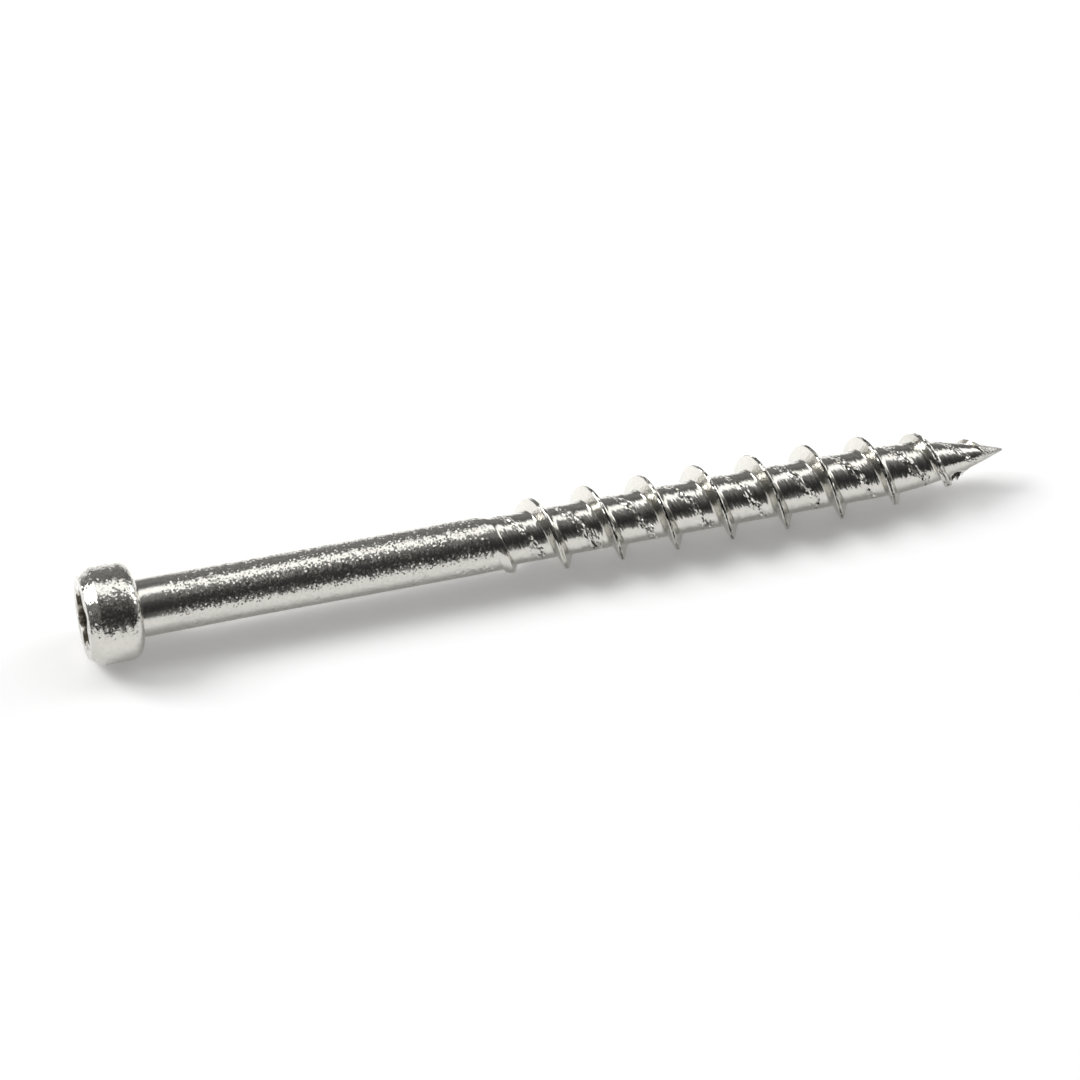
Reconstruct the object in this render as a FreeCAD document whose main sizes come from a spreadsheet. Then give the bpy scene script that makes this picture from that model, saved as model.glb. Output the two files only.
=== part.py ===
import FreeCAD, Part

import math
import os

import Sketcher

# Deck screw with a small cylindrical trim head, a plain shank, a coarse sharp thread that runs
# in over two turns, and a fluted self-drilling point. One piece: cold headed, then thread rolled.
#
# The screw is modelled along its own axis, X, from the drive face at x = 0 to the point. Angles
# round the axis are counted in turns from the top, +Z, towards -Y, so that the right-hand thread
# advances to the point with them. In the end the screw is laid down as it rests, on the rim of
# its head and on a crest of its thread, with the origin on the floor under its middle.

# Driving sizes, in millimetres and degrees.
SIZES = {
    "screw_length": 60.3,  # drive face to the end of the point
    "head_diameter": 6.3,
    "head_length": 3.48,  # drive face to the underside
    "face_diameter": 5.24,  # flat drive face inside its bevel
    "bevel_length": 0.8,  # bevel of the front rim, along the axis
    "head_round": 0.88,  # radius of the rounded rear rim
    "neck_diameter": 3.76,  # shank as it leaves the head
    "neck_length": 6.5,  # over which the neck narrows to the shank
    "neck_corner": 0.15,  # softened corner between the underside and the neck
    "shank_diameter": 3.64,
    "shank_length": 22.59,  # plain length from the head to the thread
    "thread_diameter": 5.18,
    "core_diameter": 3.24,
    "thread_pitch": 3.63,
    "crest_width": 0.2,
    "flank_angle": 20,  # slope of each flank from the plane across the axis
    "root_bevel": 0.16,  # softened corner between a flank and the core
    "run_in_length": 7.4,  # over which the crest rises from the shank
    "run_in_knee": 3.0,  # the steeper first part of that rise
    "run_in_diameter": 4.84,  # over the crest at the end of that first part
    "thread_point_length": 12.4,  # over which the crest falls to the nib
    "crest_drop_length": 3.3,  # its steep last part, measured from the tip
    "crest_drop_diameter": 3.2,  # over the crest where that part starts
    "core_point_length": 8.5,  # over which the core falls to the nib
    "nib_length": 1.0,  # unthreaded cone at the very end
    "nib_diameter": 0.82,
    "tip_diameter": 0.16,
    "lobe_span": 3.95,  # six-lobe recess across opposite lobes
    "waist_span": 2.85,  # six-lobe recess across opposite waists
    "lobe_radius": 0.305,
    "lobe_turn": 14,  # angle of the first lobe
    "recess_depth": 1.9,
    "cone_diameter": 2.6,  # conical end of the recess, below its flat bottom
    "cone_depth": 0.45,
    "flute_length": 7.5,
    "flute_turn": 165,  # side of the point that the flute opens to
}

NODE = "deck_screw"

# The groove between two crests starts shallow and narrow at one turn and is full at another.
# Turns are counted from where the thread starts.
GROOVE_START = -0.86
GROOVE_FULL = -0.11
START_WIDTH = 0.07  # share of its full width that the groove starts with
START_LIFT = 0.05  # how far above the shank's surface its floor starts
# At the point the groove closes up just short of the nib.
NIB_MARGIN = 0.05
CLOSING_LENGTH = 0.35  # from the middle of the last crest's start to the end of the groove
CLOSING_EASE = 0.2
ROOF_RISE = 0.2  # the cutter's roof over the crests, as a share of the groove's width
STATIONS_PER_TURN = 12


def sheet_of(doc):
    """The spreadsheet with one named cell for each driving size."""
    sheet = doc.addObject("Spreadsheet::Sheet", "sizes")
    for row, (name, value) in enumerate(SIZES.items(), start=1):
        sheet.set(f"A{row}", name)
        sheet.set(f"B{row}", str(value))
        sheet.setAlias(f"B{row}", name)
    doc.recompute()
    return sheet


def origin_plane(body, role):
    return next(part for part in body.Origin.OriginFeatures if part.Role == role)


def new_sketch(body, name, role):
    """An empty sketch on one of the body's own origin planes."""
    sketch = body.newObject("Sketcher::SketchObject", name)
    sketch.AttachmentSupport = [(origin_plane(body, role), "")]
    sketch.MapMode = "FlatFace"
    return sketch


def bind(sketch, kind, geometry, expression):
    """A dimension of the sketch that follows an expression over the driving sizes."""
    value = float(sketch.evalExpression(expression))
    index = sketch.addConstraint(Sketcher.Constraint(kind, *geometry, value))
    sketch.setExpression(f"Constraints[{index}]", expression)


def draw_outline(sketch, corners, radii):
    """A closed outline through corners, each a pair of expressions. radii gives the edges that are
    arcs, by the number of their first corner: a radius, and +1 for a centre on the left."""
    points = [FreeCAD.Vector(*(float(sketch.evalExpression(e)) for e in pair)) for pair in corners]
    count = len(points)
    ends = []
    for k, (start, end) in enumerate(zip(points, points[1:] + points[:1])):
        if k not in radii:
            edge = sketch.addGeometry(Part.LineSegment(start, end), False)
            ends.append((edge, 1, 2))
            continue
        expression, side = radii[k]
        radius = float(sketch.evalExpression(expression))
        middle = (start + end) / 2
        along = (end - start).normalize()
        left = FreeCAD.Vector(-along.y, along.x, 0)
        reach = math.sqrt(radius**2 - ((end - start).Length / 2) ** 2)
        centre = middle + left * (side * reach)
        first, last = (start, end) if side > 0 else (end, start)
        angles = [math.atan2(p.y - centre.y, p.x - centre.x) for p in (first, last)]
        circle = Part.Circle(centre, FreeCAD.Vector(0, 0, 1), radius)
        edge = sketch.addGeometry(Part.ArcOfCircle(circle, *angles), False)
        ends.append((edge, 1, 2) if side > 0 else (edge, 2, 1))
        bind(sketch, "Radius", (edge,), expression)
    for k in range(count):
        edge, _, finish = ends[k]
        next_edge, begin, _ = ends[(k + 1) % count]
        sketch.addConstraint(Sketcher.Constraint("Coincident", edge, finish, next_edge, begin))
    for (edge, begin, _), (across, up) in zip(ends, corners):
        bind(sketch, "DistanceX", (-1, 1, edge, begin), across)
        bind(sketch, "DistanceY", (-1, 1, edge, begin), up)


def arc_radius(length, rise):
    """Radius of the arc that starts parallel to the axis and falls by rise over length."""
    return f"(({length})^2 + ({rise})^2) / (2 * ({rise}))"


def turned_blank(body):
    """The headed wire with its point, as high as the crests wherever it will be threaded."""
    sketch = new_sketch(body, "blank_profile", "XZ_Plane")
    head = "sizes.head_diameter / 2"
    neck = "sizes.neck_diameter / 2"
    shank = "sizes.shank_diameter / 2"
    crest = "sizes.thread_diameter / 2"
    drop = "sizes.crest_drop_diameter / 2"
    nib = "sizes.nib_diameter / 2"
    underside = "sizes.head_length"
    thread_start = f"{underside} + sizes.shank_length"
    nib_start = "sizes.screw_length - sizes.nib_length"
    corners = [
        ("0", "0"),
        ("0", "sizes.face_diameter / 2"),
        ("sizes.bevel_length", head),
        (f"{underside} - sizes.head_round", head),
        (underside, f"{head} - sizes.head_round"),
        (underside, f"{neck} + sizes.neck_corner"),
        (f"{underside} + sizes.neck_corner", neck),
        (f"{underside} + sizes.neck_length", shank),
        (thread_start, shank),
        (f"{thread_start} + sizes.run_in_knee", "sizes.run_in_diameter / 2"),
        (f"{thread_start} + sizes.run_in_length", crest),
        ("sizes.screw_length - sizes.thread_point_length", crest),
        ("sizes.screw_length - sizes.crest_drop_length", drop),
        (nib_start, nib),
        ("sizes.screw_length", "sizes.tip_diameter / 2"),
        ("sizes.screw_length", "0"),
    ]
    gentle_fall = "sizes.thread_point_length - sizes.crest_drop_length"
    radii = {
        3: ("sizes.head_round", -1),
        11: (arc_radius(gentle_fall, f"{crest} - {drop}"), -1),
    }
    draw_outline(sketch, corners, radii)
    turned = body.newObject("PartDesign::Revolution", "turned_blank")
    turned.Profile = sketch
    turned.ReferenceAxis = (sketch, ["H_Axis"])
    turned.Angle = 360
    sketch.Visibility = False
    return turned


def draw_six_lobes(sketch):
    """Six round lobes joined by six round waists, every arc tangent to its neighbours."""
    reach = "(sizes.lobe_span / 2 - sizes.lobe_radius)"
    half_waist = "sizes.waist_span / 2"
    beside = f"({reach} * cos(30 deg))"
    waist_radius = (
        f"({reach}^2 + ({half_waist})^2 - {half_waist} * {beside} * 2 - sizes.lobe_radius^2)"
        f" / (2 * (sizes.lobe_radius + {beside} - {half_waist}))"
    )
    normal = FreeCAD.Vector(0, 0, 1)
    lobe_r, lobe_reach, waist_r, half, first = (
        float(sketch.evalExpression(e))
        for e in ("sizes.lobe_radius", reach, waist_radius, half_waist, "sizes.lobe_turn")
    )

    def centre(distance, sixths):
        angle = math.radians(first + 60 * sixths)
        return FreeCAD.Vector(distance * math.cos(angle), distance * math.sin(angle), 0)

    def heading(start, end):
        return math.atan2(end.y - start.y, end.x - start.x)

    lobes, waists = [], []
    for k in range(6):
        lobe = centre(lobe_reach, k)
        before, after = centre(half + waist_r, k - 0.5), centre(half + waist_r, k + 0.5)
        angles = heading(lobe, before), heading(lobe, after)
        arc = Part.ArcOfCircle(Part.Circle(lobe, normal, lobe_r), *angles)
        lobes.append(sketch.addGeometry(arc, False))
        angles = heading(after, centre(lobe_reach, k + 1)), heading(after, lobe)
        arc = Part.ArcOfCircle(Part.Circle(after, normal, waist_r), *angles)
        waists.append(sketch.addGeometry(arc, False))
    for k in range(6):
        following = lobes[(k + 1) % 6]
        sketch.addConstraint(Sketcher.Constraint("Tangent", lobes[k], 2, waists[k], 2))
        sketch.addConstraint(Sketcher.Constraint("Tangent", waists[k], 1, following, 1))
        angle = f"((sizes.lobe_turn + {60 * k}) * 1 deg)"
        bind(sketch, "DistanceX", (-1, 1, lobes[k], 3), f"{reach} * cos{angle}")
        bind(sketch, "DistanceY", (-1, 1, lobes[k], 3), f"{reach} * sin{angle}")
        if k:
            sketch.addConstraint(Sketcher.Constraint("Equal", lobes[0], lobes[k]))
            sketch.addConstraint(Sketcher.Constraint("Equal", waists[0], waists[k]))
    bind(sketch, "Radius", (lobes[0],), "sizes.lobe_radius")
    bind(sketch, "Radius", (waists[0],), waist_radius)


def drive_recess(body):
    """The six-lobe socket punched into the drive face, with the punch's conical end."""
    sketch = new_sketch(body, "recess_outline", "YZ_Plane")
    draw_six_lobes(sketch)
    recess = body.newObject("PartDesign::Pocket", "drive_recess")
    recess.Profile = sketch
    recess.setExpression("Length", "sizes.recess_depth")
    recess.Reversed = True
    sketch.Visibility = False

    cone_sketch = new_sketch(body, "recess_cone_profile", "XZ_Plane")
    corners = [
        ("sizes.recess_depth", "0"),
        ("sizes.recess_depth", "sizes.cone_diameter / 2"),
        ("sizes.recess_depth + sizes.cone_depth", "0"),
    ]
    draw_outline(cone_sketch, corners, {})
    cone = body.newObject("PartDesign::Groove", "recess_cone")
    cone.Profile = cone_sketch
    cone.ReferenceAxis = (cone_sketch, ["H_Axis"])
    cone.Angle = 360
    cone_sketch.Visibility = False


def arc_fall(distance, length, fall):
    """How far an arc of the given fall over length has fallen at a distance from its start."""
    radius = (length**2 + fall**2) / (2 * fall)
    run = min(max(distance, 0), length)
    return radius - math.sqrt(radius**2 - run**2)


def soft_limit(value, limit, blend):
    """value, eased into a limit that it doesn't pass."""
    return (value + limit - math.hypot(value - limit, blend)) / 2


class Thread:
    """The form of the groove between the crests, in the plane through the axis."""

    def __init__(self, sheet):
        self.length = sheet.screw_length
        self.pitch = sheet.thread_pitch
        self.start = sheet.head_length + sheet.shank_length
        self.shank = sheet.shank_diameter / 2
        self.crest = sheet.thread_diameter / 2
        self.core = sheet.core_diameter / 2
        self.nib = sheet.nib_diameter / 2
        self.half_crest = sheet.crest_width / 2
        self.slope = math.tan(math.radians(sheet.flank_angle))
        self.root_bevel = sheet.root_bevel
        self.crest_point = sheet.thread_point_length
        self.drop_length = sheet.crest_drop_length
        self.drop = sheet.crest_drop_diameter / 2
        self.core_point = sheet.core_point_length
        self.nib_length = sheet.nib_length
        self.end = self.length - self.nib_length - NIB_MARGIN
        # the cutter stands this far above the crests, where it is still narrower than they are
        self.above = self.half_crest / 2

    def core_radius(self, place):
        length = self.core_point - self.nib_length
        fall = self.core - self.nib
        return self.core - arc_fall(place - (self.length - self.core_point), length, fall)

    def crest_radius(self, place):
        length = self.crest_point - self.drop_length
        fall = self.crest - self.drop
        gentle = self.crest - arc_fall(place - (self.length - self.crest_point), length, fall)
        steepness = (self.drop - self.nib) / (self.drop_length - self.nib_length)
        steep = self.nib + (self.length - self.nib_length - place) * steepness
        return min(gentle, steep)

    def crest_place(self, turn):
        return self.start + self.pitch * turn

    def last_turn(self):
        return (self.end - CLOSING_LENGTH - self.start) / self.pitch

    def growth(self, turn):
        """How much of its full size the groove has at a turn, from 0 to 1."""
        return min(1, (turn - GROOVE_START) / (GROOVE_FULL - GROOVE_START))

    def floor_radius(self, turn, place):
        """Radius of the groove's floor: the core, but shallow where the groove starts."""
        lift = self.shank + START_LIFT - self.core
        return self.core_radius(place) + lift * (1 - self.growth(turn))

    def flank(self, crest_place, radius):
        """Half the width of the crest's ridge at a radius."""
        top = self.crest_radius(min(crest_place, self.end))
        return self.half_crest + (top - radius) * self.slope

    def section(self, turn):
        """The groove's outline at one station: floor, softened corners, flanks and top."""
        behind, ahead = self.crest_place(turn), self.crest_place(turn + 1)
        floor_behind = self.floor_radius(turn, behind)
        floor_ahead = self.floor_radius(turn, min(ahead, self.end))
        far = soft_limit(ahead - self.flank(ahead, floor_ahead), self.end, CLOSING_EASE)
        full_width = far - behind - self.flank(behind, floor_behind)
        near = far - full_width * (START_WIDTH + (1 - START_WIDTH) * self.growth(turn))
        floor_near = self.floor_radius(turn, near)
        floor_far = self.floor_radius(turn, far)
        top_near = self.crest_radius(behind) + self.above
        top_far = self.crest_radius(min(ahead, self.end)) + self.above
        # the roof clears the bulge of the blank between two crests of the point
        roof = (top_near + top_far) / 2 + ROOF_RISE * (far - near)
        # the corners shrink with the groove, both in its width and in its depth
        soft = self.root_bevel * (far - near) / self.pitch / (self.crest - self.core)
        soft_near = soft * (top_near - floor_near)
        soft_far = soft * (top_far - floor_far)
        outline = [
            (near + soft_near, floor_near),
            (far - soft_far, floor_far),
            (far + soft_far * self.slope, floor_far + soft_far),
            (far + (top_far - floor_far) * self.slope, top_far),
            ((near + far) / 2, roof),
            (near - (top_near - floor_near) * self.slope, top_near),
            (near - soft_near * self.slope, floor_near + soft_near),
        ]
        angle = 2 * math.pi * turn
        across, up = -math.sin(angle), math.cos(angle)
        return [FreeCAD.Vector(place, r * across, r * up) for place, r in outline]


def closed_solid(faces):
    skin = Part.makeCompound(faces)
    skin.sewShape()
    solid = Part.Solid(skin.Shells[0])
    if solid.Volume < 0:
        solid.reverse()
    return solid


def groove_turns(thread):
    """The thread groove as solids of one turn each, end to end."""
    length = thread.last_turn() - GROOVE_START
    count = math.ceil(length * STATIONS_PER_TURN)
    turns = [GROOVE_START + length * k / count for k in range(count + 1)]
    sections = [thread.section(turn) for turn in turns]
    rails = []
    for corner in zip(*sections):
        rail = Part.BSplineCurve()
        rail.interpolate(Points=list(corner), Parameters=turns)
        rails.append(rail)
    stops = list(range(0, count - STATIONS_PER_TURN // 2, STATIONS_PER_TURN)) + [count]
    solids = []
    for start, end in zip(stops, stops[1:]):
        edges = [rail.toShape(turns[start], turns[end]) for rail in rails]
        faces = [
            Part.makeRuledSurface(edge, neighbour, 1)
            for edge, neighbour in zip(edges, edges[1:] + edges[:1])
        ]
        for k in (start, end):
            faces.append(Part.Face(Part.makePolygon(sections[k] + sections[k][:1])))
        solids.append(closed_solid(faces))
    return solids


def flute_cutter(doc, sheet):
    """A square cutter, one edge down, whose edge runs from the core's surface to the tip."""
    cutter = doc.addObject("Part::Box", "flute_cutter")
    # long enough to reach well past the tip
    cutter.setExpression("Length", "2 * sizes.flute_length")
    cutter.setExpression("Width", "sizes.thread_diameter")
    cutter.setExpression("Height", "sizes.thread_diameter")
    start = FreeCAD.Vector(sheet.screw_length - sheet.flute_length, 0, sheet.core_diameter / 2)
    dip = math.degrees(math.atan2(start.z, sheet.flute_length))
    along_x, along_y = FreeCAD.Vector(1, 0, 0), FreeCAD.Vector(0, 1, 0)
    edge_down = FreeCAD.Placement(FreeCAD.Vector(), FreeCAD.Rotation(along_x, 45))
    inclined = FreeCAD.Placement(start, FreeCAD.Rotation(along_y, dip))
    turned = FreeCAD.Placement(FreeCAD.Vector(), FreeCAD.Rotation(along_x, sheet.flute_turn))
    cutter.Placement = turned * inclined * edge_down
    return cutter


def resting_placement(sheet, thread):
    """Lays the screw on the rear edge of its head's barrel and on the crest that meets the floor
    first as the screw tips down to its point."""
    rim_place = sheet.head_length - sheet.head_round
    rim = sheet.head_diameter / 2
    below = [thread.crest_place(turn + 0.5) for turn in range(int(thread.last_turn()))]
    tilt = min(math.atan2(rim - thread.crest_radius(s), s - rim_place) for s in below)
    height = rim * math.cos(tilt) + rim_place * math.sin(tilt)
    tip_reach = sheet.screw_length * math.cos(tilt) + sheet.tip_diameter / 2 * math.sin(tilt)
    face_reach = -sheet.face_diameter / 2 * math.sin(tilt)
    middle = (tip_reach + face_reach) / 2
    turn = FreeCAD.Rotation(FreeCAD.Vector(0, 1, 0), math.degrees(tilt))
    return FreeCAD.Placement(FreeCAD.Vector(-middle, 0, height), turn)


def build():
    doc = FreeCAD.newDocument("deck_screw")
    sheet = sheet_of(doc)
    thread = Thread(sheet)

    body = doc.addObject("PartDesign::Body", "headed_blank")
    turned_blank(body)
    doc.recompute()
    drive_recess(body)
    doc.recompute()

    groove = doc.addObject("Part::Feature", "thread_groove")
    groove.Shape = Part.makeCompound(groove_turns(thread))

    threaded = doc.addObject("Part::Cut", "threaded_blank")
    threaded.Base = body
    threaded.Tool = groove

    screw = doc.addObject("Part::Cut", NODE)
    screw.Label = NODE
    screw.Base = threaded
    screw.Tool = flute_cutter(doc, sheet)
    screw.Placement = resting_placement(sheet, thread)
    doc.recompute()
    return doc, screw


def check(doc, screw):
    for part in doc.Objects:
        if "Invalid" in part.State or "Error" in part.State:
            raise RuntimeError(f"{part.Label} failed: {part.State}")
    shape = screw.Shape
    if shape.isNull() or not shape.isValid() or len(shape.Solids) != 1:
        raise RuntimeError(f"{screw.Label} is not one valid solid")
    if shape.Volume >= doc.getObject("headed_blank").Shape.Volume:
        raise RuntimeError("the thread cut nothing")


def main():
    doc, screw = build()
    check(doc, screw)
    os.makedirs("parts", exist_ok=True)
    screw.Shape.exportStep(f"parts/{screw.Label}.step")
    box = screw.Shape.BoundBox
    print(f"{screw.Label}: volume {screw.Shape.Volume:.2f}, {len(screw.Shape.Faces)} faces")
    print(f"overall {box.XLength:.3f} x {box.YLength:.3f} x {box.ZLength:.3f}")


main()
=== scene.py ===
import math

import bpy
import numpy as np
from mathutils import Matrix, Vector, noise


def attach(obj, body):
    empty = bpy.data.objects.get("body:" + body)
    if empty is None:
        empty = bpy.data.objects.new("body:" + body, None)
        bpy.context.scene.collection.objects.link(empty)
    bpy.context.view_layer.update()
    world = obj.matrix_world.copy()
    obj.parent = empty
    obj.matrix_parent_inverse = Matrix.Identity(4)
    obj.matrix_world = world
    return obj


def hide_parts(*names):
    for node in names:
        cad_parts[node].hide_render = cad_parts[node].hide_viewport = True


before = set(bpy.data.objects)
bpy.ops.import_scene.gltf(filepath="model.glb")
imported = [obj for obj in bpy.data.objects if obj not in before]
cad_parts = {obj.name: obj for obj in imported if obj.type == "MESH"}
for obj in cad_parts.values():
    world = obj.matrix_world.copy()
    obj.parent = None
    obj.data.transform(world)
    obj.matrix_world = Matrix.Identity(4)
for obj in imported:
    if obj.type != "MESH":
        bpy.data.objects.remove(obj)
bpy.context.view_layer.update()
bpy.ops.object.select_all(action="DESELECT")

# The screw's own measures, in millimetres, as in the CAD model: s runs along the axis from the
# drive face, r is the distance from the axis, t is the angle round it in turns from the top
# towards the viewer.
LENGTH = 60.3
SHANK_R = 1.82
NECK_R = 1.88
NECK_END, TAPER_START, TAPER_LENGTH = 3.68, 3.63, 6.35
CORE_R = 1.62
CREST_R = 2.59
NIB_R = 0.41
TIP_R = 0.08
THREAD_START = 26.07
PITCH = 3.63
HALF_CREST = 0.1
WALL_SLOPE = math.tan(math.radians(20))
ROOT_SOFT = 0.16
RUN_IN = 7.4
RUN_IN_KNEE = 3.0
RUN_IN_R = 2.42
CREST_POINT = 12.4
CREST_DROP = 3.3
CREST_DROP_R = 1.6
CORE_POINT = 8.5
NIB_LENGTH = 1.0
NIB_START = LENGTH - NIB_LENGTH
GROOVE_END = NIB_START - 0.05
GROOVE_START_TURN = -0.86
GROOVE_FULL_TURN = -0.11
GROOVE_START_WIDTH = 0.07
GROOVE_START_CLEAR = 0.05
GROOVE_END_SOFT = 0.2
FLUTE_LENGTH = 7.5
FLUTE_TURN = 165 / 360
FLUTE_DIP = CORE_R / FLUTE_LENGTH

# The head: a bevelled front rim, a straight band and a rounded rear rim.
HEAD_R = 3.15
FACE_R = 2.58
RIM_R = 2.655
BEVEL_START, BEVEL_LENGTH, BEVEL_RISE = 0.05, 0.7, 0.47
BAND_START, BAND_LENGTH = 0.86, 1.74
REAR_START, REAR_R = 2.6, 0.88

# The six-lobe recess: where its lobes' middles lie, their radius, and the waists' nearest point.
LOBE_REACH, LOBE_R, WAIST = 1.67, 0.305, 1.425
LOBE_HALF_ANGLE = 9.39
RECESS_TURN = 44
RECESS_FLOOR, RECESS_END = 1.9, 2.35
CONE_R = 1.3
MOUTH_EASE = 0.05

# What the rolling leaves on the crests: lips rolled a little down, and flats that widen from one
# place along the screw to another, each as (how much wider, from, to).
CREST_ROLL = 0.035
CREST_SPREAD = 0.02
CREST_FLATTENING = ((0.12, 50, 57), (0.06, 57, 57.8))
SEAM_DEPTH, SEAM_RAGGED, SEAM_FINE, SEAM_DEEPEST = 0.07, 0.06, 0.05, 0.13

# The burr and the hollow beside it: how high, where along the screw and how far that way, and
# where round it and how far round.
BURR_HEIGHT, BURR_S, BURR_REACH, BURR_TURN, BURR_ROUND = 0.36, 56.95, 0.62, 0.355, 0.016
HOLLOW_DEPTH, HOLLOW_S, HOLLOW_REACH, HOLLOW_TURN, HOLLOW_ROUND = 0.14, 57.0, 0.4, 0.318, 0.016

# How the screw lies: tipped to its point until a crest meets the floor.
TILT = math.atan2(0.012679808069, 0.999919608002)
AXIS_HEIGHT = 3.182714266
MIDDLE = 30.131472825

# The mesh: columns round one turn, and the ring where the plain shank meets the threaded part.
COLUMNS = 180
RING_S = 25.2
ROUND_CORE = 2 * math.pi * CORE_R
FIRST_TURN, LAST_TURN = -1.2, 9.2
LEAST_WALL, LEAST_ROOT, LEAST_GAP = 0.02, 0.004, 0.01

MM = 1000  # the frame is in metres: a scale of MM gives a texture one cell a millimetre


def to_row(s, r, t):
    """Points of the screw, from its own measures to the row's frame in metres."""
    angle = 2 * math.pi * t
    y = -r * np.sin(angle)
    z = r * np.cos(angle)
    x_row = s * math.cos(TILT) + z * math.sin(TILT) - MIDDLE
    z_row = -s * math.sin(TILT) + z * math.cos(TILT) + AXIS_HEIGHT
    return np.stack([x_row, y, z_row], axis=-1) / MM


def sheet(name, points, flat):
    """A grid primitive whose points are moved to their places. points has rows and columns, and
    flat gives each point's place on the unrolled surface in millimetres, kept as its UV."""
    rows, columns = points.shape[:2]
    bpy.ops.mesh.primitive_grid_add(x_subdivisions=columns - 1, y_subdivisions=rows - 1, size=1)
    piece = bpy.context.object
    piece.name = name
    piece.data.vertices.foreach_set("co", points.reshape(-1))
    corners = np.empty(len(piece.data.loops), dtype=np.int32)
    piece.data.loops.foreach_get("vertex_index", corners)
    corner_places = flat.reshape(-1, 2)[corners]
    piece.data.uv_layers.active.data.foreach_set("uv", corner_places.reshape(-1))
    piece.data.update()
    return piece


def rough(x, y, z):
    """Smooth random relief between -1 and 1, for arrays of places."""
    flat = [noise.noise(place) for place in zip(x.reshape(-1), y.reshape(-1), z.reshape(-1))]
    return np.array(flat).reshape(x.shape)


def ease(value, start, end):
    share = np.clip((value - start) / (end - start), 0, 1)
    return share * share * (3 - 2 * share)


def hump(value, middle, reach):
    """A smooth hump of height 1 round middle, which has faded by about twice its reach."""
    return np.exp(-(((value - middle) / reach) ** 2))


def arc_fall(distance, length, fall):
    """How far an arc has fallen that starts level and falls by fall over length."""
    radius = (length**2 + fall**2) / (2 * fall)
    run = np.clip(distance, 0, length)
    return radius - np.sqrt(radius**2 - run**2)


def core_radius(s):
    return CORE_R - arc_fall(s - (LENGTH - CORE_POINT), CORE_POINT - NIB_LENGTH, CORE_R - NIB_R)


def crest_radius(s):
    """The crests fall gently along the point and then drop to the nib."""
    gentle_length = CREST_POINT - CREST_DROP
    gentle = CREST_R - arc_fall(s - (LENGTH - CREST_POINT), gentle_length, CREST_R - CREST_DROP_R)
    steepness = (CREST_DROP_R - NIB_R) / (CREST_DROP - NIB_LENGTH)
    return np.minimum(gentle, NIB_R + (NIB_START - s) * steepness)


def blank_radius(s):
    """The blank before it is threaded, from the shank to the nib."""
    run = [THREAD_START, THREAD_START + RUN_IN_KNEE, THREAD_START + RUN_IN]
    rise = np.interp(s, run, [SHANK_R, RUN_IN_R, CREST_R])
    return np.minimum(rise, crest_radius(s))


def half_crest(s):
    """The crests are rolled flatter and wider towards the point."""
    half = HALF_CREST + CREST_SPREAD
    for wider, start, end in CREST_FLATTENING:
        half = half + wider * ease(s, start, end)
    return half


def growth(turn):
    """How far the groove has opened, from 0 at its start to 1 at its full width."""
    return np.clip((turn - GROOVE_START_TURN) / (GROOVE_FULL_TURN - GROOVE_START_TURN), 0, 1)


def seam_depth(s):
    """The seam along a crest, where the two flanks' rolled metal meets and doesn't close."""
    along = (s - THREAD_START) / PITCH * ROUND_CORE * 1.5
    ragged = rough(along * 1.3, np.zeros_like(along), np.zeros_like(along))
    fine = rough(along * 4.1, np.full_like(along, 7.3), np.zeros_like(along))
    depth = SEAM_DEPTH + SEAM_RAGGED * ragged + SEAM_FINE * fine
    return np.clip(depth, 0, SEAM_DEEPEST) * ease(s, 28.5, 30.5) * (1 - ease(s, 58.3, 58.9))


def flute_limit(s, r, t):
    """r, cut down to the walls of the square flute where a point lies in its corner."""
    away = 2 * math.pi * (t - FLUTE_TURN)
    opening = np.cos(away) - np.abs(np.sin(away))
    wall = (LENGTH - s) * FLUTE_DIP / np.maximum(opening, 0.02)
    begun = s > LENGTH - FLUTE_LENGTH + (r - CORE_R) * FLUTE_DIP
    return np.where(begun & (opening > 0.02), np.minimum(r, np.maximum(wall, 0)), r)


def blend_between(a, b, shares):
    return a[:, None] + (b - a)[:, None] * np.array(shares)[None, :]


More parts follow.
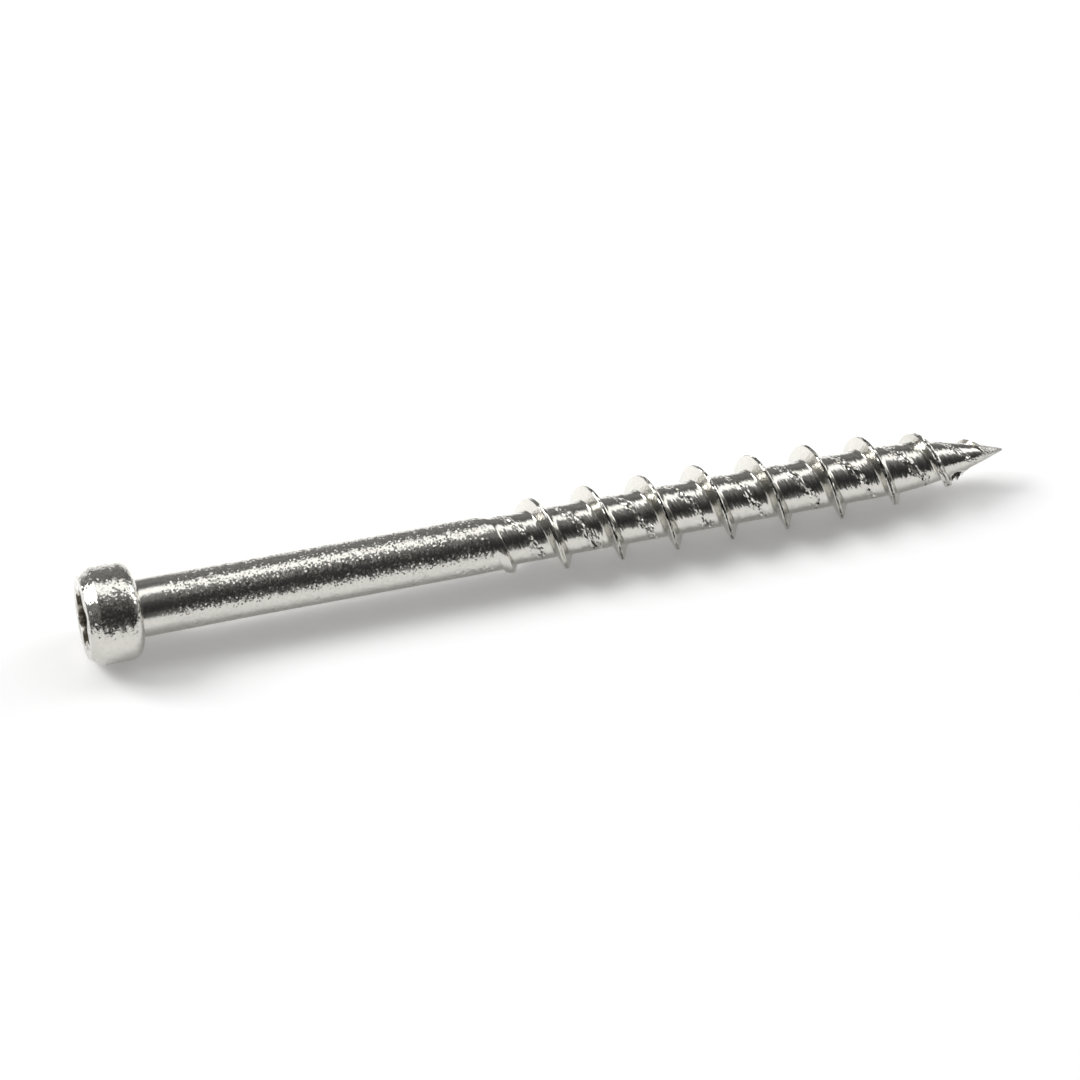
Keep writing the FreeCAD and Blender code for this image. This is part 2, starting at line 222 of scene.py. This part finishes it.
def thread_sheet(name):
    """The threaded part, its rows following the helix from one crest to the next."""
    count = round((LAST_TURN - FIRST_TURN) * COLUMNS)
    turn = FIRST_TURN + np.arange(count + 1) / COLUMNS
    grown = growth(turn)
    lift = (SHANK_R + GROOVE_START_CLEAR - CORE_R) * (1 - grown)
    behind = THREAD_START + PITCH * turn
    ahead = behind + PITCH
    top_behind = crest_radius(np.minimum(behind, GROOVE_END))
    top_ahead = crest_radius(np.minimum(ahead, GROOVE_END))
    floor_behind = core_radius(behind) + lift
    floor_ahead = core_radius(np.minimum(ahead, GROOVE_END)) + lift
    far = ahead - HALF_CREST - (top_ahead - floor_ahead) * WALL_SLOPE
    far = (far + GROOVE_END - np.hypot(far - GROOVE_END, GROOVE_END_SOFT)) / 2
    width = far - behind - HALF_CREST - (top_behind - floor_behind) * WALL_SLOPE
    near = far - width * (GROOVE_START_WIDTH + (1 - GROOVE_START_WIDTH) * grown)
    floor_near = core_radius(near) + lift
    floor_far = core_radius(far) + lift
    edge_near = near - np.maximum(blank_radius(near) - floor_near, LEAST_WALL) * WALL_SLOPE
    edge_far = far + np.maximum(blank_radius(far) - floor_far, LEAST_WALL) * WALL_SLOPE
    edge_near = np.maximum(edge_near, behind + half_crest(behind))
    edge_near = np.minimum(edge_near, near - LEAST_GAP)
    edge_far = np.minimum(edge_far, ahead - half_crest(ahead))
    edge_far = np.maximum(edge_far, far + LEAST_GAP)
    blank_near = np.maximum(blank_radius(edge_near) - CREST_ROLL, floor_near)
    blank_far = np.maximum(blank_radius(edge_far) - CREST_ROLL, floor_far)
    soft = ROOT_SOFT * np.clip((far - near) / PITCH / (CREST_R - CORE_R), 0, 1)
    soft_near = soft * (blank_near - floor_near) + LEAST_ROOT
    soft_far = soft * (blank_far - floor_far) + LEAST_ROOT
    root_near = near - soft_near * WALL_SLOPE
    root_far = far + soft_far * WALL_SLOPE

    s_parts, r_parts = [], []

    def run(s_a, r_a, s_b, r_b, shares):
        s_parts.append(blend_between(s_a, s_b, shares))
        r_parts.append(blend_between(r_a, r_b, shares))

    def fillet(s_a, r_a, s_m, r_m, s_b, r_b):
        w = np.array([0, 0.33, 0.67])[None, :]
        for parts, (a, m, b) in ((s_parts, (s_a, s_m, s_b)), (r_parts, (r_a, r_m, r_b))):
            curve = a[:, None] * (1 - w) ** 2 + 2 * m[:, None] * w * (1 - w) + b[:, None] * w**2
            parts.append(curve)

    # from the middle of one crest: up its seam to the lip, then down the flank to the root
    seam_fall = np.array([1, 0.75, 0])
    seam_near = blend_between(behind, behind + half_crest(behind), [0, 0.3, 0.55])
    s_parts.append(seam_near)
    r_parts.append(blank_radius(seam_near) - seam_depth(behind)[:, None] * seam_fall)
    run(edge_near, blank_near, root_near, floor_near + soft_near, [0, 0.5, 0.9])
    fillet(root_near, floor_near + soft_near, near, floor_near, near + soft_near, floor_near)

    # across the core, up the next crest's flank, and over its lip to the middle of its seam
    s_floor = blend_between(near + soft_near, far - soft_far, np.linspace(0, 1, 26)[:-1])
    s_parts.append(s_floor)
    r_parts.append(core_radius(s_floor) + lift[:, None] + rolled_relief(turn, s_floor, behind))
    fillet(far - soft_far, floor_far, far, floor_far, root_far, floor_far + soft_far)
    run(root_far, floor_far + soft_far, edge_far, blank_far, [0, 0.1, 0.5, 1])
    seam_far = blend_between(ahead - half_crest(ahead), ahead, [0.45, 0.7, 1])
    s_parts.append(seam_far)
    r_parts.append(blank_radius(seam_far) - seam_depth(ahead)[:, None] * seam_fall[::-1])
    s = np.concatenate(s_parts, axis=1)
    r = np.concatenate(r_parts, axis=1)
    t = np.repeat(turn[:, None], s.shape[1], axis=1)

    # where the shank steps down to the core over the top, the step is drawn out
    drawn_out = ease(turn, -0.4, -0.25) * (1 - ease(turn, -0.1, -0.02))
    core_share = ease(s - near[:, None], -0.55, 0.5)
    slow_step = SHANK_R + (core_radius(s) - SHANK_R) * core_share
    is_step = (s < far[:, None] - 0.3) * drawn_out[:, None]
    r = r + (slow_step - r) * is_step
    r = r + torn_edge(t, s)

    r = np.minimum(r, blank_radius(s))
    r = flute_limit(s, r, t)
    s = np.clip(s, RING_S, NIB_START)
    r = np.where(s <= RING_S, SHANK_R, r)
    r = np.where(s >= NIB_START, flute_limit(NIB_START, NIB_R, t), r)
    flat = np.stack([t * ROUND_CORE, s - behind[:, None]], axis=-1)
    return sheet(name, np.transpose(to_row(s, r, t), (1, 0, 2)), np.transpose(flat, (1, 0, 2)))


def lap_place(turn):
    """Where, across the pitch, the rolled metal of the core laps over itself."""
    return PITCH * (0.5 + 0.15 * np.sin(2 * math.pi * (turn - 0.02)))


def rolled_relief(turn, s, behind):
    """Raised flakes along the lap in the middle of the core, each pitch much as the last."""
    across = s - behind[:, None] - lap_place(turn)[:, None]
    around = np.repeat((turn % 1)[:, None] * ROUND_CORE, s.shape[1], axis=1)
    pitch_number = np.repeat(np.floor(turn)[:, None], s.shape[1], axis=1)
    flakes = rough(around * 1.6, across * 4.5, pitch_number * 0.25)
    fine = rough(around * 3.1 + 40, across * 8.0, pitch_number * 0.8)
    band = hump(across, -0.08, 0.3)
    patchy = 0.35 + 0.65 * ease(rough(around * 0.55, pitch_number * 0.3, across * 0), -0.25, 0.25)
    present = ease(s, 30, 32) * (1 - ease(s, 55, 56))
    # faded out where one turn's number gives way to the next
    seamless = ease((turn % 1), 0, 0.04) * (1 - ease((turn % 1), 0.96, 1))
    return (0.03 * flakes + 0.018 * fine) * band * patchy * present * seamless[:, None]


def torn_edge(turn, s):
    """The ragged burr that the flute's cutter left by the last full crest, and the hollow
    beside it."""
    around = turn % 1
    ragged = rough(s * 5, around * 60, np.zeros_like(s))
    burr = BURR_HEIGHT * hump(s, BURR_S, BURR_REACH) * hump(around, BURR_TURN, BURR_ROUND)
    hollow = HOLLOW_DEPTH * hump(s, HOLLOW_S, HOLLOW_REACH) * hump(around, HOLLOW_TURN, HOLLOW_ROUND)
    return burr * (0.8 + 0.9 * ragged) - hollow


def lathe_sheet(name, profile, relief=None):
    """Rings from a list of (s, r): r is a number, or a function of the angle in turns."""
    t = np.arange(COLUMNS + 1) / COLUMNS
    s = np.repeat(np.array([place for place, _ in profile])[:, None], COLUMNS + 1, axis=1)
    rings = [radius(t) if callable(radius) else np.full_like(t, radius) for _, radius in profile]
    r = np.stack(rings)
    t = np.repeat(t[None, :], len(profile), axis=0)
    if relief:
        r = r + relief(s, r, t)
    r = flute_limit(s, r, t)
    flat = np.stack([t * 2 * math.pi * SHANK_R, s], axis=-1)
    return sheet(name, to_row(s, r, t), flat)


def lobed(t, grow=0.0):
    """Radius of the six-lobe outline: round lobes joined by round waists."""
    beside = LOBE_REACH * math.cos(math.radians(30))
    swing = LOBE_REACH**2 + WAIST**2 - 2 * WAIST * beside - LOBE_R**2
    waist_r = swing / (2 * (LOBE_R + beside - WAIST))
    middle = WAIST + waist_r
    off = np.degrees(2 * math.pi * t) - RECESS_TURN
    off = np.abs((off + 30) % 60 - 30)
    d = np.radians(off)
    lobe_chord = np.maximum(LOBE_R**2 - (LOBE_REACH * np.sin(d)) ** 2, 0)
    on_lobe = LOBE_REACH * np.cos(d) + np.sqrt(lobe_chord)
    e = np.radians(30) - d
    waist_chord = np.maximum(waist_r**2 - (middle * np.sin(e)) ** 2, 0)
    on_waist = middle * np.cos(e) - np.sqrt(waist_chord)
    return np.where(off < LOBE_HALF_ANGLE, on_lobe, on_waist) + grow


def face_ring(t, share):
    """A ring of the drive face, from the recess's mouth (0) to the face's round edge (1)."""
    mouth = lobed(t, MOUTH_EASE)
    return mouth + (FACE_R - mouth) * share


def head_profile():
    """From the recess's cone out over the drive face and back to the neck."""
    cone = RECESS_END - RECESS_FLOOR
    rows = [(RECESS_END, 0.0)]
    rows += [(RECESS_END - cone * k / 4, CONE_R * k / 4) for k in range(1, 5)]
    rows += [(RECESS_FLOOR, lambda t: CONE_R + (lobed(t) - CONE_R) * 0.5), (RECESS_FLOOR, lobed)]
    rows += [(RECESS_FLOOR - 1.85 * k / 6, lobed) for k in range(1, 7)]
    rows += [(0.015, lambda t: lobed(t, 0.012)), (0.0, lambda t: lobed(t, MOUTH_EASE))]
    for share in (0.25, 0.5, 0.75, 1):
        rows.append((0.0, lambda t, w=share: face_ring(t, w)))
    rows += [(0.01, 2.615), (BEVEL_START, RIM_R)]
    for k in range(1, 9):
        rows.append((BEVEL_START + BEVEL_LENGTH * k / 8, RIM_R + BEVEL_RISE * k / 8))
    rows += [(0.8, 3.145), (BAND_START, HEAD_R)]
    rows += [(BAND_START + BAND_LENGTH * k / 14, HEAD_R) for k in range(1, 15)]
    for k in range(1, 15):
        angle = math.pi / 2 * k / 14
        radius = HEAD_R - REAR_R + REAR_R * math.cos(angle)
        rows.append((REAR_START + REAR_R * math.sin(angle), radius))
    rows += [(3.48, 2.1), (3.49, 1.97), (3.55, 1.90), (NECK_END, NECK_R)]
    return rows


def dented(s, r, t):
    """Shallow dents that the header's dies leave over the head's outside."""
    angle = 2 * math.pi * t
    y, z = r * np.sin(angle), r * np.cos(angle)
    dents = rough(s * 1.9, y * 1.9, z * 1.9) - 0.6
    outside = ease(s, 0.02, 0.15) * (1 - ease(s, 3.1, 3.4)) * ease(r, 2.6, 2.7)
    return 0.012 * dents * outside


def shank_profile():
    rows = []
    for s in np.linspace(NECK_END, RING_S, 26)[1:]:
        rows.append((s, NECK_R - (NECK_R - SHANK_R) * min((s - TAPER_START) / TAPER_LENGTH, 1)))
    return rows


def nib_profile():
    rows = []
    for k in range(0, 7):
        rows.append((LENGTH - NIB_LENGTH * (1 - k / 6), NIB_R - (NIB_R - TIP_R) * k / 6))
    rows.append((LENGTH, 0.0))
    return rows


def join_and_close(name, pieces):
    """One closed mesh from sheets whose edges meet."""
    bpy.ops.object.select_all(action="DESELECT")
    for piece in pieces:
        piece.select_set(True)
    bpy.context.view_layer.objects.active = pieces[0]
    bpy.ops.object.join()
    whole = bpy.context.object
    whole.name = name
    whole.data.name = name
    bpy.ops.object.mode_set(mode="EDIT")
    bpy.ops.mesh.select_all(action="SELECT")
    bpy.ops.mesh.remove_doubles(threshold=4e-7)
    bpy.ops.mesh.normals_make_consistent(inside=False)
    bpy.ops.object.mode_set(mode="OBJECT")
    return whole


parts = [
    lathe_sheet("head", head_profile() + shank_profile(), dented),
    thread_sheet("thread"),
    lathe_sheet("nib", nib_profile()),
]
screw = join_and_close("screw", parts)
bpy.ops.object.shade_smooth_by_angle(angle=math.radians(35))


def linear(code):
    """A colour from its sRGB hex code, as the linear values that a shader takes."""
    values = [int(code[k:k + 2], 16) / 255 for k in (0, 2, 4)]
    return [v / 12.92 if v <= 0.04045 else ((v + 0.055) / 1.055) ** 2.4 for v in values] + [1.0]


def add_node(tree, kind, settings=None, links=None):
    """A node with its settings: a number or an input's name sets that socket, another word a
    property. links joins an input to an output of another node."""
    node = tree.nodes.new(kind)
    for key, value in (settings or {}).items():
        if isinstance(key, str) and hasattr(node, key):
            setattr(node, key, value)
        else:
            node.inputs[key].default_value = value
    for key, source in (links or {}).items():
        tree.links.new(source, node.inputs[key])
    return node


def polished_steel(name):
    """A bright stainless surface, faintly clouded a quarter of a millimetre at a time. Its look
    comes mostly from the relief that each kind of it adds."""
    steel = bpy.data.materials.new(name)
    steel.use_nodes = True
    tree = steel.node_tree
    shader = tree.nodes["Principled BSDF"]
    place = add_node(tree, "ShaderNodeTexCoord").outputs["Object"]
    clouds = add_node(tree, "ShaderNodeTexNoise",
                      {"Scale": 4.0 * MM, "Detail": 4.0, "Roughness": 0.7}, {"Vector": place})
    tint = add_node(tree, "ShaderNodeMix",
                    {"data_type": "RGBA", 6: linear("BEBCB5"), 7: linear("DEDCD6")},
                    {0: clouds.outputs["Fac"]})
    tree.links.new(tint.outputs[2], shader.inputs["Base Color"])
    shader.inputs["Metallic"].default_value = 1.0
    shader.inputs["Roughness"].default_value = 0.14
    return steel, tree, shader


def tip_facets(tree, shader, place, scale, tilt, relief, amount=None):
    """Breaks a surface up into facets that each lean their own way on top of its relief: most of
    them a little, and a few by up to half of tilt. scale is in facets per unit of place, and
    amount may fade the lean."""
    cells = add_node(tree, "ShaderNodeTexVoronoi", {"Scale": scale}, {"Vector": place})
    share = add_node(tree, "ShaderNodeVectorMath", {"operation": "SUBTRACT", 1: (0.5, 0.5, 0.5)},
                     {0: cells.outputs["Color"]}).outputs[0]
    squared = add_node(tree, "ShaderNodeVectorMath", {"operation": "MULTIPLY"},
                       {0: share, 1: share}).outputs[0]
    cubed = add_node(tree, "ShaderNodeVectorMath", {"operation": "MULTIPLY"},
                     {0: squared, 1: share}).outputs[0]
    lean = add_node(tree, "ShaderNodeVectorMath", {"operation": "SCALE", "Scale": 4 * tilt},
                    {0: cubed}).outputs[0]
    if amount is not None:
        lean = add_node(tree, "ShaderNodeVectorMath", {"operation": "SCALE"},
                        {0: lean, "Scale": amount}).outputs[0]
    leaning = add_node(tree, "ShaderNodeVectorMath", {"operation": "ADD"},
                       {0: relief, 1: lean}).outputs[0]
    normal = add_node(tree, "ShaderNodeVectorMath", {"operation": "NORMALIZE"},
                      {0: leaning}).outputs[0]
    tree.links.new(normal, shader.inputs["Normal"])
    return normal


# Cold-headed steel: struck between dies, so it is covered in small flat dents an eighth to a
# fifth of a millimetre across, which break the lights up into patches.
headed, tree, shader = polished_steel("cold headed steel")
place = add_node(tree, "ShaderNodeTexCoord").outputs["Object"]
dents = add_node(tree, "ShaderNodeTexNoise",
                 {"Scale": 5.0 * MM, "Detail": 3.0, "Roughness": 0.6}, {"Vector": place})
bump = add_node(tree, "ShaderNodeBump", {"Strength": 1.0, "Distance": 0.02 / MM},
                {"Height": dents.outputs["Fac"]})
tip_facets(tree, shader, place, 8.0 * MM, 0.32, bump.outputs["Normal"])

# Drawn wire: the orange-peel skin that a bright finish leaves on a drawn surface. Its grains are
# about 0.1 mm and sparkle in the dark band. The dies have pressed the wire smooth by the head.
drawn, tree, shader = polished_steel("drawn steel wire")
shader.inputs["Roughness"].default_value = 0.19
place = add_node(tree, "ShaderNodeTexCoord").outputs["Object"]
along = add_node(tree, "ShaderNodeSeparateXYZ", {}, {0: place}).outputs["X"]
open_skin = add_node(tree, "ShaderNodeMapRange",
                     {"From Min": -25.6 / MM, "From Max": -23.6 / MM, "To Min": 0.2, "To Max": 1.0},
                     {"Value": along}).outputs[0]
peel = add_node(tree, "ShaderNodeTexNoise",
                {"Scale": 5.0 * MM, "Detail": 2.0, "Roughness": 0.6}, {"Vector": place})
bump = add_node(tree, "ShaderNodeBump", {"Distance": 0.01 / MM},
                {"Height": peel.outputs["Fac"], "Strength": open_skin})
tip_facets(tree, shader, place, 9.5 * MM, 0.45, bump.outputs["Normal"], open_skin)

# Rolled thread: the dies leave fine streaks round the core, 0.4 mm long and under 0.1 mm wide.
# In the middle of each pitch the metal laps over itself in ragged flakes that glitter.
rolled, tree, shader = polished_steel("rolled thread steel")
unrolled = add_node(tree, "ShaderNodeTexCoord").outputs["UV"]
drawn_out = add_node(tree, "ShaderNodeMapping", {"Scale": (1.8, 9.0, 1.0)},
                     {"Vector": unrolled}).outputs[0]
streaks = add_node(tree, "ShaderNodeTexNoise", {"Scale": 1.0, "Detail": 3.0, "Roughness": 0.6},
                   {"Vector": drawn_out})
bump = add_node(tree, "ShaderNodeBump", {"Strength": 1.0, "Distance": 0.01 / MM},
                {"Height": streaks.outputs["Fac"]})
streaked = tip_facets(tree, shader, drawn_out, 1.3, 0.2, bump.outputs["Normal"])
unrolled_parts = add_node(tree, "ShaderNodeSeparateXYZ", {}, {0: unrolled})
turn_angle = add_node(tree, "ShaderNodeMath",
                      {"operation": "MULTIPLY_ADD", 1: 2 * math.pi / ROUND_CORE, 2: -0.126},
                      {0: unrolled_parts.outputs["X"]}).outputs[0]
wave = add_node(tree, "ShaderNodeMath", {"operation": "SINE"}, {0: turn_angle}).outputs[0]
lap = add_node(tree, "ShaderNodeMath",
               {"operation": "MULTIPLY_ADD", 1: 0.15 * PITCH, 2: 0.48 * PITCH},
               {0: wave}).outputs[0]
off_lap = add_node(tree, "ShaderNodeMath", {"operation": "SUBTRACT"},
                   {0: unrolled_parts.outputs["Y"], 1: lap}).outputs[0]
patches = add_node(tree, "ShaderNodeTexNoise", {"Scale": 0.9, "Detail": 2.0},
                   {"Vector": unrolled})
wander = add_node(tree, "ShaderNodeMath", {"operation": "SUBTRACT", 1: 0.5},
                  {0: patches.outputs["Fac"]}).outputs[0]
off_lap = add_node(tree, "ShaderNodeMath", {"operation": "ADD"},
                   {0: off_lap, 1: wander}).outputs[0]
off_lap = add_node(tree, "ShaderNodeMath", {"operation": "ABSOLUTE"}, {0: off_lap}).outputs[0]
near_lap = add_node(tree, "ShaderNodeMapRange",
                    {"From Min": 0.12, "From Max": 0.42, "To Min": 1.0, "To Max": 0.0},
                    {"Value": off_lap}).outputs[0]
flake_place = add_node(tree, "ShaderNodeMapping", {"Scale": (4.0, 7.5, 1.0)},
                       {"Vector": unrolled}).outputs[0]
tip_facets(tree, shader, flake_place, 1.3, 2.0, streaked, near_lap)

# The flanks slid along the dies and are duller than the rest.
flank, tree, shader = polished_steel("rolled flank steel")
shader.inputs["Roughness"].default_value = 0.2
place = add_node(tree, "ShaderNodeTexCoord").outputs["Object"]
grain = add_node(tree, "ShaderNodeTexNoise", {"Scale": 4.0 * MM, "Detail": 3.0},
                 {"Vector": place})
bump = add_node(tree, "ShaderNodeBump", {"Strength": 1.0, "Distance": 0.02 / MM},
                {"Height": grain.outputs["Fac"]})
tree.links.new(bump.outputs["Normal"], shader.inputs["Normal"])

# Where the dies' two flows of metal met, the crest is a seam of broken lips that glitter, and
# the seam's hollow is given painted shade in its colour, a dark, broken line.
crest, tree, shader = polished_steel("rolled crest steel")
unrolled = add_node(tree, "ShaderNodeTexCoord").outputs["UV"]
bitten = add_node(tree, "ShaderNodeMapping", {"Scale": (4.0, 14.0, 1.0)},
                  {"Vector": unrolled}).outputs[0]
notches = add_node(tree, "ShaderNodeTexNoise", {"Scale": 1.0, "Detail": 2.0}, {"Vector": bitten})
bump = add_node(tree, "ShaderNodeBump", {"Strength": 1.0, "Distance": 0.03 / MM},
                {"Height": notches.outputs["Fac"]})
tip_facets(tree, shader, bitten, 1.0, 0.7, bump.outputs["Normal"])
across = add_node(tree, "ShaderNodeSeparateXYZ", {}, {0: unrolled}).outputs["Y"]
off_seam = add_node(tree, "ShaderNodeMath", {"operation": "PINGPONG", 1: PITCH / 2},
                    {0: across}).outputs[0]
ragged = add_node(tree, "ShaderNodeMath", {"operation": "MULTIPLY_ADD", 1: 0.4, 2: -0.17},
                  {0: notches.outputs["Fac"]}).outputs[0]
off_seam = add_node(tree, "ShaderNodeMath", {"operation": "ADD"},
                    {0: off_seam, 1: ragged}).outputs[0]
on_lip = add_node(tree, "ShaderNodeMapRange", {"From Min": 0.035, "From Max": 0.06},
                  {"Value": off_seam}).outputs[0]
# painted shade: near black in the seam's hollow, bright steel on the lips
seam_painted_shade = add_node(tree, "ShaderNodeMix",
                {"data_type": "RGBA", 6: linear("23211E"), 7: linear("CFCDC7")}, {0: on_lip})
tree.links.new(seam_painted_shade.outputs[2], shader.inputs["Base Color"])

# The punched socket is the dullest, darker brownish grey in random patches, with brighter metal
# between them.
socket, tree, shader = polished_steel("punched socket steel")
shader.inputs["Roughness"].default_value = 0.27
place = add_node(tree, "ShaderNodeTexCoord").outputs["Object"]
patch_noise = add_node(tree, "ShaderNodeTexNoise", {"Scale": 1.6 * MM, "Detail": 3.0},
                {"Vector": place})
bright_share = add_node(tree, "ShaderNodeMapRange", {"From Min": 0.5, "From Max": 0.58},
                {"Value": patch_noise.outputs["Fac"]}).outputs[0]
# darker brownish grey where the noise is low, brighter steel where it is high
brownish_patches = add_node(tree, "ShaderNodeMix",
                {"data_type": "RGBA", 6: linear("A39E93"), 7: linear("EAE8E2")}, {0: bright_share})
tree.links.new(brownish_patches.outputs[2], shader.inputs["Base Color"])
grain = add_node(tree, "ShaderNodeTexNoise", {"Scale": 4.0 * MM, "Detail": 3.0},
                 {"Vector": place})
bump = add_node(tree, "ShaderNodeBump", {"Strength": 1.0, "Distance": 0.02 / MM},
                {"Height": grain.outputs["Fac"]})
tree.links.new(bump.outputs["Normal"], shader.inputs["Normal"])

STEELS = [headed, drawn, rolled, flank, socket, crest]
screw.data.materials.clear()
for steel in STEELS:
    screw.data.materials.append(steel)


def axis_place(point):
    """A point's place along the screw's axis and its distance from it, in millimetres."""
    x, z = point.x * MM + MIDDLE, point.z * MM - AXIS_HEIGHT
    s = x * math.cos(TILT) - z * math.sin(TILT)
    up = x * math.sin(TILT) + z * math.cos(TILT)
    return s, math.hypot(point.y * MM, up)


SOCKET_END, SOCKET_R = 2.5, 2.03
HEAD_END = 3.5
LIP_DEPTH = 0.1
LIP_LEAN, FLANK_LEAN = 0.8, 0.7


def steel_at(face):
    """The steel of a face, by its place along the axis and how far it leans along the screw."""
    s, r = axis_place(face.center)
    lean = abs(face.normal.x)
    if s < SOCKET_END and r < SOCKET_R:
        return socket
    if s < HEAD_END:
        return headed
    if s < THREAD_START:
        return drawn
    if r > crest_radius(s) - LIP_DEPTH and lean < LIP_LEAN:
        return crest
    return flank if lean > FLANK_LEAN else rolled


for face in screw.data.polygons:
    face.material_index = STEELS.index(steel_at(face))
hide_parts("deck_screw")
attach(screw, "root")

# The table: white paper. Where nothing shades it, the camera and the metal see it as pure white.
# A strip of it behind the screw glows brighter, painted light for the tops of the flanks to mirror.
FLOOR_SIZE = 6
STRIP_MIDDLE, STRIP_HALF, STRIP_FADED = 15 / MM, 6 / MM, 11 / MM
STRIP_LIFT, PAPER_LIFT = 0.62, 0.2
bpy.ops.mesh.primitive_plane_add(size=FLOOR_SIZE)
floor = bpy.context.object
floor.name = "floor"
paper = bpy.data.materials.new("white paper")
paper.use_nodes = True
tree = paper.node_tree
shader = tree.nodes["Principled BSDF"]
shader.inputs["Base Color"].default_value = linear("F6F6F6")
shader.inputs["Roughness"].default_value = 0.9
shader.inputs["Specular IOR Level"].default_value = 0.1
shader.inputs["Emission Color"].default_value = (1, 1, 1, 1)
ray = add_node(tree, "ShaderNodeLightPath")
seen = add_node(tree, "ShaderNodeMath", {"operation": "MAXIMUM"},
                {0: ray.outputs["Is Camera Ray"], 1: ray.outputs["Is Glossy Ray"]}).outputs[0]
seen = add_node(tree, "ShaderNodeMath", {"operation": "MAXIMUM"},
                {0: seen, 1: ray.outputs["Is Transmission Ray"]}).outputs[0]
place = add_node(tree, "ShaderNodeTexCoord").outputs["Object"]
back = add_node(tree, "ShaderNodeSeparateXYZ", {}, {0: place}).outputs["Y"]
off_strip = add_node(tree, "ShaderNodeMath", {"operation": "SUBTRACT", 1: STRIP_MIDDLE},
                     {0: back}).outputs[0]
off_strip = add_node(tree, "ShaderNodeMath", {"operation": "ABSOLUTE"},
                     {0: off_strip}).outputs[0]
# painted light: the paper glows brighter in a strip behind the screw, for the metal to mirror
glow = add_node(tree, "ShaderNodeMapRange",
                {"From Min": STRIP_HALF, "From Max": STRIP_FADED,
                 "To Min": STRIP_LIFT, "To Max": PAPER_LIFT},
                {"Value": off_strip}).outputs[0]
lift = add_node(tree, "ShaderNodeMath", {"operation": "MULTIPLY"}, {0: seen, 1: glow})
tree.links.new(lift.outputs[0], shader.inputs["Emission Strength"])
floor.data.materials.append(paper)

LAMP_DISTANCE = 1.5


def soft_box(name, direction, size, radiance):
    """A rectangle with an even glow that faces the screw. size is across and up, in metres."""
    data = bpy.data.lights.new(name, "AREA")
    data.shape = "RECTANGLE"
    data.size, data.size_y = size
    data.energy = radiance * math.pi * size[0] * size[1]
    box = bpy.data.objects.new(name, data)
    bpy.context.collection.objects.link(box)
    box.location = Vector(direction).normalized() * LAMP_DISTANCE
    box.rotation_euler = (-box.location).to_track_quat("-Z", "Y").to_euler()


soft_box("soft box overhead", (0.12, 0.317, 0.94), (3.2, 0.66), 1.52)
soft_box("soft box left", (-0.67, 0.36, 0.65), (0.7, 0.7), 9.2)
soft_box("soft box right", (0.85, 0.26, 0.46), (0.7, 0.85), 2.5)

# The rest of the room: grey levels from the horizon behind the camera (0), past straight overhead
# and both sides (0.5), to the horizon behind the screw (1).
ROOM = [(0.0, 0.35), (0.018, 0.12), (0.06, 0.035), (0.12, 0.035), (0.2, 0.06), (0.27, 0.09),
        (0.34, 0.2), (0.5, 0.27), (0.8, 0.16), (0.86, 0.16), (0.93, 0.26), (1.0, 0.26)]
world = bpy.data.worlds.new("studio")
bpy.context.scene.world = world
world.use_nodes = True
sky = world.node_tree
direction = add_node(sky, "ShaderNodeTexCoord").outputs["Generated"]
split = add_node(sky, "ShaderNodeSeparateXYZ", {}, {0: direction})
share = add_node(sky, "ShaderNodeMath", {"operation": "MULTIPLY_ADD", 1: 0.5, 2: 0.5},
                 {0: split.outputs["Y"]}).outputs[0]
ramp = add_node(sky, "ShaderNodeValToRGB", {}, {"Fac": share})
elements = ramp.color_ramp.elements
elements[0].color = (ROOM[0][1],) * 3 + (1,)
elements[1].color = (ROOM[-1][1],) * 3 + (1,)
for position, value in ROOM[1:-1]:
    elements.new(position).color = (value, value, value, 1)
sky.links.new(ramp.outputs["Color"], sky.nodes["Background"].inputs["Color"])

# The camera looks down on the screw from the front, a little from the head's side. Its distance
# and its aim, to the right and up in the picture, are in millimetres.
ELEVATION = math.radians(46.0)
TURN = math.radians(15.05)
DISTANCE = 520.4
AIM_RIGHT, AIM_UP = -0.430, 1.500
PIXELS_PER_MM = 15.725
PICTURE_WIDTH = 1080
SENSOR_WIDTH = 36
forward = Vector((math.sin(TURN) * math.cos(ELEVATION), math.cos(TURN) * math.cos(ELEVATION),
                  -math.sin(ELEVATION)))
right = Vector((math.cos(TURN), -math.sin(TURN), 0))
up = right.cross(forward)
camera_data = bpy.data.cameras.new("camera")
camera = bpy.data.objects.new("camera", camera_data)
bpy.context.collection.objects.link(camera)
stand = (right * AIM_RIGHT + up * AIM_UP - forward * DISTANCE) / MM
facing = Matrix((right, up, -forward)).transposed().to_4x4()
camera.matrix_world = Matrix.Translation(stand) @ facing
camera_data.sensor_width = SENSOR_WIDTH
camera_data.lens = PIXELS_PER_MM * DISTANCE * SENSOR_WIDTH / PICTURE_WIDTH
camera_data.clip_start = 0.01
camera_data.clip_end = 20
bpy.context.scene.camera = camera
bpy.context.scene.view_settings.view_transform = "Standard"
